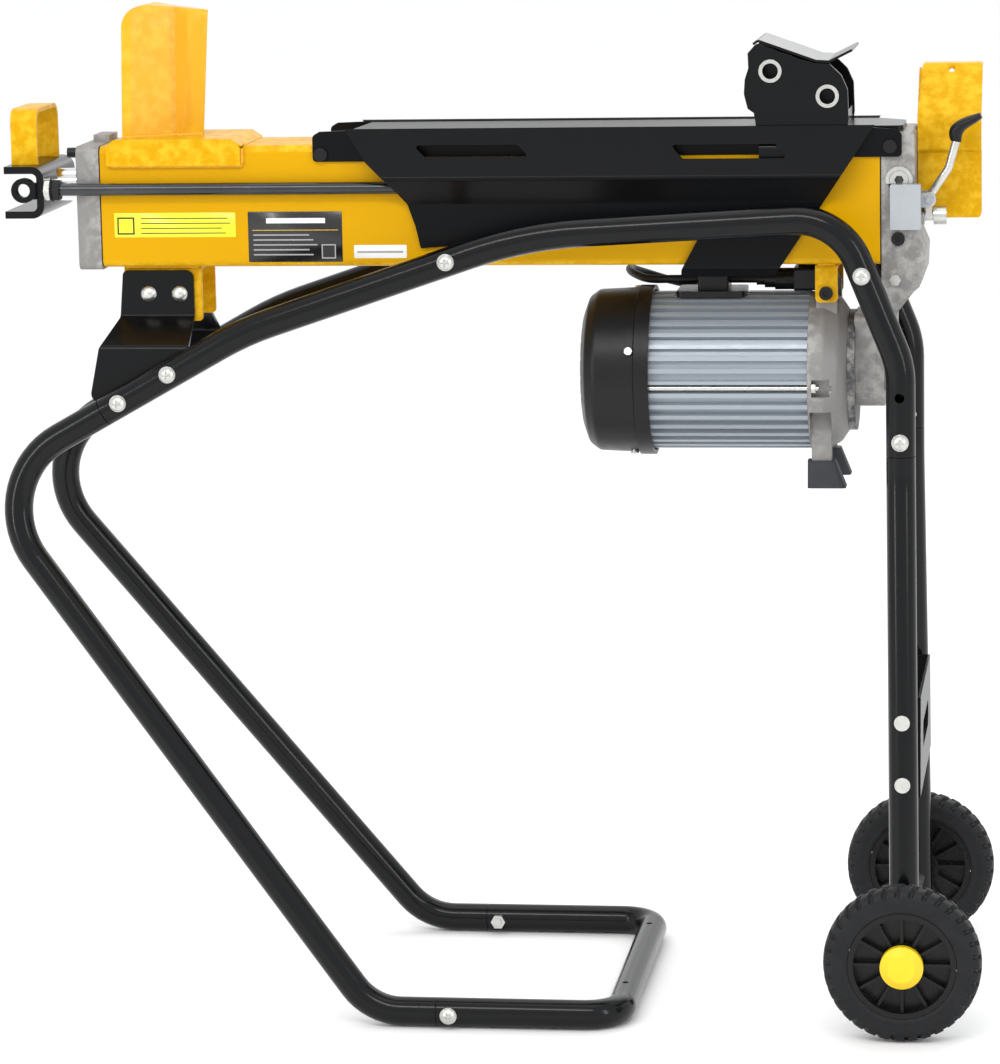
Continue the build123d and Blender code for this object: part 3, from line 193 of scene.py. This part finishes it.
def make_materials():
    made = {}

    def keep(surface):
        made[surface.name] = surface.done()

    # gloss powder coat: deep black with a fine orange peel
    for name, color, rough, peel, specular in (("black_gloss", linear(9, 10, 12), 0.22, 0.00003, 0.20),
                                               ("black_sheet", linear(9, 10, 12), 0.30, 0.00002, 0.12),
                                               ("black_tube", linear(8, 9, 11), 0.17, 0.00003, 0.24)):
        s = Surface(name, color, rough, specular=specular)
        s.vary_rough(s.noise(60, 5, 0.6), 0.03)
        s.bump(s.noise(620, 2, 0.5), peel)
        keep(s)

    s = Surface("yellow_paint", linear(202, 151, 0), 0.34, specular=0.10)
    s.tint(s.ramp(s.noise(16, 4, 0.6), 0.4, 0.75, 0, 0.2), linear(196, 144, 0))
    s.tint(s.ramp(s.noise(130, 5, 0.75), 0.66, 0.76, 0, 0.10), linear(150, 100, 10))
    # painted highlight: paler yellow on the sharp edges of the paint
    s.tint(s.edge_wear_and_highlight(amount=0.35), linear(250, 206, 60))
    s.vary_rough(s.noise(52, 4, 0.6), 0.25)
    s.bump(s.noise(520, 2, 0.5), 0.00007).bump(s.noise(30, 2, 0.4), 0.00012)
    keep(s)

    s = Surface("wedge_paint", linear(216, 160, 4), 0.28, specular=0.35)
    s.tint(s.ramp(s.noise(11, 5, 0.7), 0.42, 0.72, 0, 0.2), linear(210, 152, 0))
    s.tint(s.band(0, -0.314, -0.300), linear(206, 140, 0))
    # painted highlight: paler yellow on the wedge's sharp edges
    s.tint(s.edge_wear_and_highlight(0.52, 0.58, 0.2), linear(250, 214, 90))
    s.vary_rough(s.noise(40, 5, 0.6), 0.30)
    s.bump(s.noise(420, 2, 0.5), 0.00008).bump(s.noise(38, 3, 0.5), 0.0004)
    keep(s)

    for name, color, stain, rough in (("cast_grey", linear(128, 126, 124), linear(114, 111, 108), 0.48),
                                      ("dark_cast", linear(66, 66, 68), linear(50, 50, 52), 0.50)):
        s = Surface(name, color, rough, metallic=0.25)
        s.tint(s.ramp(s.noise(30, 6, 0.7), 0.35, 0.72, 0, 0.22), stain)
        s.tint(s.ramp(s.noise(300, 4, 0.8), 0.62, 0.76, 0, 0.10), linear(100, 96, 94))
        s.tint(s.edge_wear_and_highlight(amount=0.4), linear(200, 198, 194))
        s.vary_rough(s.noise(90, 4, 0.7), 0.25)
        s.bump(s.noise(480, 5, 0.75), 0.00022).bump(s.cells(210), 0.00014)
        keep(s)

    s = Surface("aluminium_fins", linear(152, 159, 167), 0.36, metallic=0.35)
    s.tint(s.ramp(s.noise(14, 4, 0.6, (0.3, 1, 1)), 0.4, 0.7, 0, 0.3), linear(134, 142, 151))
    s.tint(s.ramp(s.noise(240, 4, 0.7), 0.62, 0.76, 0, 0.2), linear(100, 105, 110))
    s.vary_rough(s.noise(60, 4, 0.6), 0.24)
    s.bump(s.noise(420, 4, 0.7, (0.12, 1, 1)), 0.00010)
    keep(s)

    s = Surface("port_grey", linear(168, 172, 176), 0.34, metallic=0.3)
    s.tint(s.ramp(s.noise(40, 4, 0.6), 0.4, 0.7, 0, 0.3), linear(156, 160, 165))
    s.vary_rough(s.noise(110, 4, 0.6), 0.18)
    s.bump(s.noise(420, 4, 0.7), 0.00008)
    keep(s)

    for name, color, rough in (("zinc", linear(204, 204, 200), 0.30),
                               ("plain_steel", linear(150, 150, 152), 0.35),
                               ("bright_rod", linear(150, 154, 158), 0.24)):
        s = Surface(name, color, rough, metallic=1.0, edge=0.0004)
        s.tint(s.ramp(s.noise(120, 4, 0.7), 0.45, 0.7, 0, 0.45), linear(168, 168, 160))
        s.vary_rough(s.noise(260, 4, 0.7), 0.35)
        s.bump(s.noise(700, 3, 0.6), 0.00004)
        keep(s)

    s = Surface("rod_black", linear(24, 25, 27), 0.22, metallic=0.2, coat=0.4, edge=0.0004)
    s.tint(s.ramp(s.noise(40, 4, 0.6, (0.2, 1, 1)), 0.45, 0.7, 0, 0.5), linear(60, 62, 66))
    s.vary_rough(s.noise(150, 4, 0.7, (0.2, 1, 1)), 0.30)
    s.bump(s.noise(500, 3, 0.6, (0.1, 1, 1)), 0.00004)
    keep(s)

    s = Surface("chrome", linear(222, 222, 224), 0.09, metallic=1.0, edge=0.0004)
    s.tint(s.ramp(s.noise(90, 4, 0.7), 0.5, 0.7, 0, 0.2), linear(176, 178, 182))
    s.vary_rough(s.noise(300, 4, 0.7, (0.1, 1, 1)), 0.10)
    s.bump(s.noise(900, 2, 0.5, (0.05, 1, 1)), 0.00001)
    keep(s)

    s = Surface("bronze", linear(176, 140, 84), 0.35, metallic=1.0, edge=0.0004)
    s.vary_rough(s.noise(300, 4, 0.7), 0.2)
    s.bump(s.noise(500, 3, 0.6), 0.00004)
    keep(s)

    for name, color, rough, grain in (("black_plastic", linear(12, 12, 14), 0.36, 0.00008),
                                      ("fan_plastic", linear(18, 18, 18), 0.45, 0.00006),
                                      ("rim_plastic", linear(9, 10, 11), 0.28, 0.00006),
                                      ("foot_rubber", linear(46, 48, 52), 0.60, 0.00010),
                                      ("lead_rubber", linear(18, 18, 20), 0.48, 0.00004),
                                      ("gasket", linear(22, 22, 22), 0.60, 0.00006),
                                      ("black_screw", linear(17, 17, 19), 0.30, 0.00003)):
        s = Surface(name, color, rough, edge=0.0005, specular=0.28)
        lighter = tuple(min(1, c * 1.6) for c in color[:3]) + (1.0,)
        s.tint(s.ramp(s.noise(60, 4, 0.6), 0.42, 0.72, 0, 0.3), lighter)
        s.tint(s.facing_up(amount=0.03), linear(110, 110, 110))
        s.vary_rough(s.noise(110, 4, 0.6), 0.20)
        s.bump(s.cells(900), grain).bump(s.noise(260, 3, 0.6), grain * 0.6)
        keep(s)

    for name, color in (("yellow_plastic", linear(238, 200, 0)), ("green_plastic", linear(24, 120, 60)),
                        ("red_plastic", linear(176, 26, 24))):
        s = Surface(name, color, 0.36, coat=0.1, edge=0.0006)
        s.tint(s.ramp(s.noise(50, 4, 0.6), 0.42, 0.72, 0, 0.25), tuple(c * 0.86 for c in color[:3]) + (1.0,))
        s.vary_rough(s.noise(140, 4, 0.6), 0.18)
        s.bump(s.cells(1100), 0.00004)
        keep(s)

    s = Surface("tyre", linear(15, 16, 18), 0.55, edge=0.0005, specular=0.28)
    s.tint(s.ramp(s.noise(70, 5, 0.7), 0.42, 0.72, 0, 0.4), linear(34, 35, 39))
    s.tint(s.ramp(s.noise(320, 4, 0.7), 0.62, 0.76, 0, 0.2), linear(56, 56, 56))
    s.vary_rough(s.noise(120, 4, 0.7), 0.25)
    s.bump(s.noise(380, 4, 0.7), 0.00014).bump(s.cells(640), 0.00008)
    keep(s)

    for name, color, rough in (("label_lemon", linear(222, 220, 24), 0.34),
                               ("label_black", linear(15, 15, 17), 0.26),
                               ("label_white", linear(226, 226, 222), 0.40),
                               ("print_dark", linear(34, 32, 20), 0.40),
                               ("print_yellow", linear(222, 176, 30), 0.36),
                               ("print_grey", linear(150, 150, 150), 0.40)):
        s = Surface(name, color, rough, coat=0.2, edge=0.0)
        s.tint(s.ramp(s.noise(60, 4, 0.6), 0.45, 0.75, 0, 0.2), tuple(c * 0.82 for c in color[:3]) + (1.0,))
        s.vary_rough(s.noise(110, 4, 0.6), 0.14)
        s.bump(s.noise(90, 2, 0.5), 0.00005)
        keep(s)

    s = Surface("weld_yellow", linear(222, 160, 0), 0.36, coat=0.1, edge=0.0)
    s.tint(s.ramp(s.noise(200, 4, 0.7), 0.5, 0.7, 0, 0.4), linear(196, 138, 0))
    s.vary_rough(s.noise(200, 4, 0.7), 0.25)
    s.bump(s.noise(500, 3, 0.6), 0.00012)
    keep(s)

    s = Surface("weld_black", linear(18, 20, 22), 0.28, coat=0.12, edge=0.0)
    s.tint(s.ramp(s.noise(200, 4, 0.7), 0.5, 0.7, 0, 0.4), linear(52, 55, 58))
    s.vary_rough(s.noise(200, 4, 0.7), 0.25)
    s.bump(s.noise(500, 3, 0.6), 0.00012)
    keep(s)

    s = Surface("studio_floor", linear(247, 247, 247), 0.75, edge=0.0)
    s.tint(s.ramp(s.noise(3, 3, 0.5), 0.3, 0.7, 0, 0.1), linear(243, 243, 244))
    keep(s)
    return made


MAT = make_materials()
RECORD = frame["record"]
SLOT_OF = {p["node"]: p["material_slot"] for p in RECORD["subparts"]}
LOOK = {"tank_beam": "yellow_paint", "side_rails": "black_tube", "front_legs": "black_tube",
        "floor_hoop": "black_tube", "wheel_legs": "black_tube", "splitting_wedge": "wedge_paint",
        "side_rods": "rod_black", "pump_body": "cast_grey", "pump_cover": "cast_grey",
        "port_block": "port_grey"}


def dress(node):
    """Gives a CAD node its material."""
    obj = NODES[node]
    obj.data.materials.clear()
    obj.data.materials.append(MAT[LOOK.get(node, SLOT_OF[node])])


for node_name in NODES:
    dress(node_name)


def repaint(node, material, chosen):
    """Gives another material to the faces of a CAD node whose centre, in metres, passes a test."""
    obj = NODES[node]
    obj.data.materials.append(MAT[material])
    index = len(obj.data.materials) - 1
    place = obj.matrix_world
    for face in obj.data.polygons:
        c = place @ face.center
        if chosen(c.x, c.y, c.z):
            face.material_index = index


bpy.context.view_layer.update()
repaint("ram_fasteners", "black_screw", lambda x, y, z: abs(y) > 0.04 and -0.4281 < x < -0.40)
repaint("oil_plugs", "black_screw", lambda x, y, z: x < -0.38 or (0.735 < z < 0.758))
repaint("cover_screws", "zinc", lambda x, y, z: z < 0.72)
repaint("frame_fasteners", "black_screw",
        lambda x, y, z: abs(x - 0.324) < 0.01 and abs(z - 0.6954) < 0.01 and abs(y) < 0.055)
repaint("pusher_crossbars", "zinc", lambda x, y, z: z > 0.87 and abs(y) > 0.0505)
repaint("pump_body", "dark_cast", lambda x, y, z: x < 0.3512)
repaint("slide_rail", "black_sheet", lambda x, y, z: z > 0.8548)
repaint("tank_beam", "zinc", lambda x, y, z: x > 0.35 and z < 0.7247 and abs(y) > 0.051)


# ---- mesh helpers --------------------------------------------------------------------------------
def add_piece(name, bm, material, body, smooth=True, sharp=35.0):
    """Turns a bmesh into a piece that rides on a body."""
    bmesh.ops.remove_doubles(bm, verts=bm.verts, dist=1e-6)
    bmesh.ops.recalc_face_normals(bm, faces=bm.faces)
    mesh = bpy.data.meshes.new(name)
    bm.to_mesh(mesh)
    bm.free()
    mesh.materials.append(MAT[material])
    obj = bpy.data.objects.new(name, mesh)
    bpy.context.scene.collection.objects.link(obj)
    if smooth:
        mesh.shade_smooth()
        mesh.set_sharp_from_angle(angle=math.radians(sharp))
    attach(obj, body)
    return obj


def loft(bm, rings):
    """Joins closed rings of equal length into a skin with both ends capped."""
    made = [[bm.verts.new(p) for p in ring] for ring in rings]
    count = len(made[0])
    for a, b in zip(made, made[1:]):
        for i in range(count):
            j = (i + 1) % count
            bm.faces.new((a[i], a[j], b[j], b[i]))
    bm.faces.new(list(reversed(made[0])))
    bm.faces.new(made[-1])


def slab(bm, corners, y0, y1, round_r=0.0, inset=0.0):
    """Plate with a polygon outline in (x, z), between two y planes, its front edge eased by inset."""
    ring = [Vector((x, 0, z)) for x, z in rounded(corners, round_r)]
    count = len(ring)
    centre = Vector((sum(p.x for p in ring) / count, 0, sum(p.z for p in ring) / count))

    def at(y, shrink):
        drop = Vector((0, y, 0))
        return [centre + (p - centre) * (1 - shrink / max((p - centre).length, 1e-6)) + drop for p in ring]

    loft(bm, [at(y0, 0), at(y0 + (y1 - y0) * 0.7, 0), at(y1, inset)])


def rounded(corners, radius, steps=5):
    """Polygon with rounded corners."""
    if radius <= 0:
        return list(corners)
    out = []
    count = len(corners)
    for i, p in enumerate(corners):
        a = Vector(corners[i - 1]) - Vector(p)
        b = Vector(corners[(i + 1) % count]) - Vector(p)
        a.normalize()
        b.normalize()
        half = a.angle(b) / 2
        cut = radius / math.tan(half)
        start = Vector(p) + a * cut
        end = Vector(p) + b * cut
        for k in range(steps + 1):
            t = k / steps
            q = start.lerp(Vector(p), t).lerp(Vector(p).lerp(end, t), t)
            out.append((q.x, q.y))
    return out


# ---- tyres ---------------------------------------------------------------------------------------
def build_tyre(side):
    """Tyre with two rows of tread blocks, a shoulder rib and a ringed side wall."""
    lo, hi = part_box(f"tyre_{side}")
    centre = (lo + hi) / 2
    outer = (hi.z - lo.z) / 2
    half = (hi.y - lo.y) / 2
    lugs = 34
    steps = lugs * 14
    groove = 0.0034
    profile = [(0.0517, -0.90), (0.0535, -0.95), (0.0560, -0.985), (0.0568, -0.965), (0.0590, -0.985),
               (0.0630, -1.0), (0.0665, -0.985), (0.0685, -0.955), (0.0705, -0.90), (0.0722, -0.84),
               (0.0734, -0.74), (0.0742, -0.60),
               (0.0747, -0.42), (0.0749, -0.24), (0.0750, -0.10), (0.0750, 0.0)]
    profile += [(r, -y) for r, y in reversed(profile[:-1])]
    bm = bmesh.new()
    rings = []
    for k in range(steps):
        angle = 2 * math.pi * k / steps
        ring = []
        for r, y in profile:
            side_phase = 0.5 if y > 0 else 0.0
            lean = 0.35 * abs(y)
            phase = (angle * lugs / (2 * math.pi) + side_phase + lean) % 1.0
            edge = min(phase, 1 - phase) * 2
            cut = 1 - min(1, max(0, (edge - 0.24) / 0.14))
            reach = min(1, max(0, (r - 0.0668) / 0.004)) * min(1, max(0, (abs(y) - 0.10) / 0.12))
            centre_groove = 0.0012 if abs(y) < 0.06 else 0.0
            radius = min(outer, r) - groove * cut * reach - centre_groove
            width = y * half * (1 - 0.05 * cut * reach)
            ring.append(Vector((radius * math.sin(angle), width, radius * math.cos(angle))) + centre)
        rings.append(ring)
    made = [[bm.verts.new(p) for p in ring] for ring in rings]
    count = len(profile)
    for i in range(steps):
        a, b = made[i], made[(i + 1) % steps]
        for j in range(count - 1):
            bm.faces.new((a[j], a[j + 1], b[j + 1], b[j]))
        bm.faces.new((a[count - 1], a[0], b[0], b[count - 1]))
    tyre = add_piece(f"tyre_{side}_tread", bm, "tyre", f"{side}_wheel", sharp=38)
    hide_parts(f"tyre_{side}")


for wheel_side in ("near", "far"):
    build_tyre(wheel_side)


# ---- weld beads ------------------------------------------------------------------------------------
def weld_bead(name, points, radius, material, body, step=0.0022):
    """Rippled bead along straight runs."""
    path = []
    for a, b in zip(points, points[1:]):
        a, b = Vector(a), Vector(b)
        count = max(2, int((b - a).length / (step / 4)))
        path += [a.lerp(b, i / count) for i in range(count)]
    path.append(Vector(points[-1]))
    bm = bmesh.new()
    rings = []
    for i, p in enumerate(path):
        ahead = path[min(i + 1, len(path) - 1)] - path[max(i - 1, 0)]
        ahead.normalize()
        side = ahead.orthogonal().normalized() if i == 0 else (side - ahead * side.dot(ahead)).normalized()
        up = ahead.cross(side)
        wave = 0.5 + 0.5 * math.cos(2 * math.pi * (i % 4) / 4)
        wander = 0.06 * math.sin(i * 0.37) + 0.05 * math.sin(i * 0.11 + 1)
        size = radius * (0.86 + 0.16 * wave + wander)
        if i in (0, len(path) - 1):
            size *= 0.35
        turns = (2 * math.pi * k / 10 for k in range(10))
        rings.append([p + (side * math.cos(t) + up * math.sin(t)) * size for t in turns])
    loft(bm, rings)
    return add_piece(name, bm, material, body, sharp=80)


BEAM_SIDE = 0.050
saddle_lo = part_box("wedge_saddle")[0]
channel_lo, channel_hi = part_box("foot_channel")
hanger_lo, hanger_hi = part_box("motor_hanger")
for tag, sign in (("near", -1), ("far", 1)):
    weld_bead(f"saddle_weld_{tag}", [(saddle_lo.x + 0.004, sign * BEAM_SIDE, saddle_lo.z - 0.0004),
                                     (-0.2415, sign * BEAM_SIDE, saddle_lo.z - 0.0004),
                                     (-0.2402, sign * BEAM_SIDE, saddle_lo.z + 0.004),
                                     (-0.2402, sign * (BEAM_SIDE + 0.0004), 0.8385)], 0.0026,
              "weld_yellow", "frame")
    weld_bead(f"wedge_weld_{tag}", [(-0.288, sign * 0.0012, 0.8482), (-0.306, sign * 0.0096, 0.8482),
                                    (-0.3130, sign * 0.0102, 0.8482), (-0.3525, sign * 0.0356, 0.8482),
                                    (-0.3612, sign * 0.0352, 0.8482)], 0.0027,
              "weld_yellow", "frame")
    weld_bead(f"channel_weld_{tag}", [(channel_lo.x + 0.002, sign * (channel_hi.y + 0.0002), 0.7222),
                                      (channel_hi.x - 0.002, sign * (channel_hi.y + 0.0002), 0.7222)], 0.0022,
              "weld_yellow", "frame")
    weld_bead(f"hanger_weld_{tag}", [(hanger_lo.x + 0.002, sign * 0.041, 0.7225),
                                     (hanger_hi.x - 0.002, sign * 0.041, 0.7225)], 0.0020,
              "weld_yellow", "frame")
weld_bead("saddle_end_weld", [(-0.2392, -0.044, 0.8412), (-0.2392, 0.044, 0.8412)], 0.0018,
          "weld_yellow", "frame")


# ---- labels ----------------------------------------------------------------------------------------
STICKER = 0.0003
PRINT = 0.00004


def bar(x0, x1, z0, z1):
    """Upright rectangle in (x, z)."""
    return [(x0, z0), (x1, z0), (x1, z1), (x0, z1)]


def label(name, x0, x1, z0, z1, material):
    """Thin sticker on the near side of the beam."""
    bm = bmesh.new()
    slab(bm, bar(x0, x1, z0, z1), -BEAM_SIDE, -BEAM_SIDE - STICKER, 0.0012, 0.0001)
    return add_piece(name, bm, material, "frame", sharp=50)


def marks(name, polygons, material, lift=STICKER):
    """Printed marks as very thin plates."""
    bm = bmesh.new()
    for corners in polygons:
        slab(bm, corners, -BEAM_SIDE - lift, -BEAM_SIDE - lift - PRINT)
    return add_piece(name, bm, material, "frame", sharp=30)


label("lemon_sticker", -0.3685, -0.2482, 0.7524, 0.7764, "label_lemon")
marks("sticker_block", [bar(-0.3655, -0.3485, 0.7552, 0.7720)], "print_dark")
marks("sticker_block_field", [bar(-0.3640, -0.3500, 0.7567, 0.7705)], "label_lemon", STICKER + PRINT)
rows = []
for row, (start, stop) in enumerate(((-0.342, -0.256), (-0.342, -0.2535), (-0.342, -0.262), (-0.342, -0.2580))):
    z = 0.7712 - row * 0.0048
    rows.append(bar(start, stop, z - 0.0009, z))
marks("sticker_lines", rows, "print_dark")

label("black_label", -0.2360, -0.1434, 0.7279, 0.7769, "label_black")
marks("black_label_band", [bar(-0.2320, -0.1474, 0.7585, 0.7591)], "print_yellow")
marks("black_label_head", [bar(-0.2180, -0.1600, 0.7655, 0.7705)], "label_white")
ROW_STEP = 0.0048
label_rows = [bar(-0.2310, -0.1760 + 0.004 * (i % 3), 0.7535 - ROW_STEP * i, 0.7548 - ROW_STEP * i)
              for i in range(5)]
marks("black_label_rows", label_rows, "print_grey")
marks("black_label_box", [bar(-0.1640, -0.1500, 0.7310, 0.7450)], "print_grey")
marks("black_label_box_field", [bar(-0.1628, -0.1512, 0.7322, 0.7438)], "label_black", STICKER + PRINT)
label("white_label", -0.1322, -0.0805, 0.7312, 0.7440, "label_white")
marks("white_label_line", [bar(-0.1290, -0.0840, 0.7362, 0.7382)], "print_grey")


# ---- camera, light and floor -----------------------------------------------------------------------
def area_light(name, location, target, size, power, color=(1, 1, 1), size_y=None):
    data = bpy.data.lights.new(name, "AREA")
    data.shape = "RECTANGLE"
    data.size = size
    data.size_y = size_y or size
    data.energy = power
    data.color = color
    obj = bpy.data.objects.new(name, data)
    obj.location = location
    obj.rotation_mode = "QUATERNION"
    obj.rotation_quaternion = (Vector(target) - Vector(location)).to_track_quat("-Z", "Y")
    bpy.context.scene.collection.objects.link(obj)


def studio():
    scene = bpy.context.scene
    bm = bmesh.new()
    bmesh.ops.create_grid(bm, x_segments=2, y_segments=2, size=70)
    mesh = bpy.data.meshes.new("floor")
    bm.to_mesh(mesh)
    bm.free()
    mesh.materials.append(MAT["studio_floor"])
    floor = bpy.data.objects.new("floor", mesh)
    floor.location = (0, 0, -0.0005)
    scene.collection.objects.link(floor)
    world = bpy.data.worlds.new("studio")
    world.use_nodes = True
    world.node_tree.nodes["Background"].inputs["Color"].default_value = (0.99, 0.995, 1.0, 1)
    world.node_tree.nodes["Background"].inputs["Strength"].default_value = 1.08
    scene.world = world
    scene.view_settings.view_transform = "Standard"
    area_light("key", (-0.2, -2.4, 2.7), (0, 0, 0.6), 2.6, 34, (1.0, 0.99, 0.97), 0.35)
    area_light("left_strip", (-2.3, -2.5, 1.2), (0, 0, 0.5), 0.3, 20, (1.0, 1.0, 1.0), 1.8)
    area_light("right_strip", (2.7, -2.2, 1.4), (0, 0, 0.5), 0.3, 16, (0.98, 0.99, 1.0), 1.8)
    area_light("top", (0.2, 0.4, 3.2), (0, 0, 0.6), 2.6, 16)
    area_light("back", (0.8, 3.0, 2.2), (0, 0, 0.6), 2.0, 12)


YAW, PITCH, ROLL = 8.138714, 10.039399, -1.1638575
LENS = 150.61
EYE = (0.60967, -4.27917, 1.21883)


def camera():
    """Camera at the angle the machine is normally shown from: a little above and right of its near side."""
    yaw, pitch, roll = (math.radians(v) for v in (YAW, PITCH, ROLL))
    ahead = Vector((-math.sin(yaw) * math.cos(pitch), math.cos(yaw) * math.cos(pitch), -math.sin(pitch)))
    right = Vector((math.cos(yaw), math.sin(yaw), 0))
    up = right.cross(ahead)
    level = right * math.cos(roll) + up * math.sin(roll)
    over = up * math.cos(roll) - right * math.sin(roll)
    data = bpy.data.cameras.new("camera")
    data.lens = LENS
    data.sensor_width = 36
    data.sensor_fit = "AUTO"
    data.clip_end = 200
    obj = bpy.data.objects.new("camera", data)
    turn = Matrix((level, over, -ahead)).transposed().to_4x4()
    obj.matrix_world = Matrix.Translation(EYE) @ turn
    bpy.context.scene.collection.objects.link(obj)
    bpy.context.scene.camera = obj


studio()
camera()
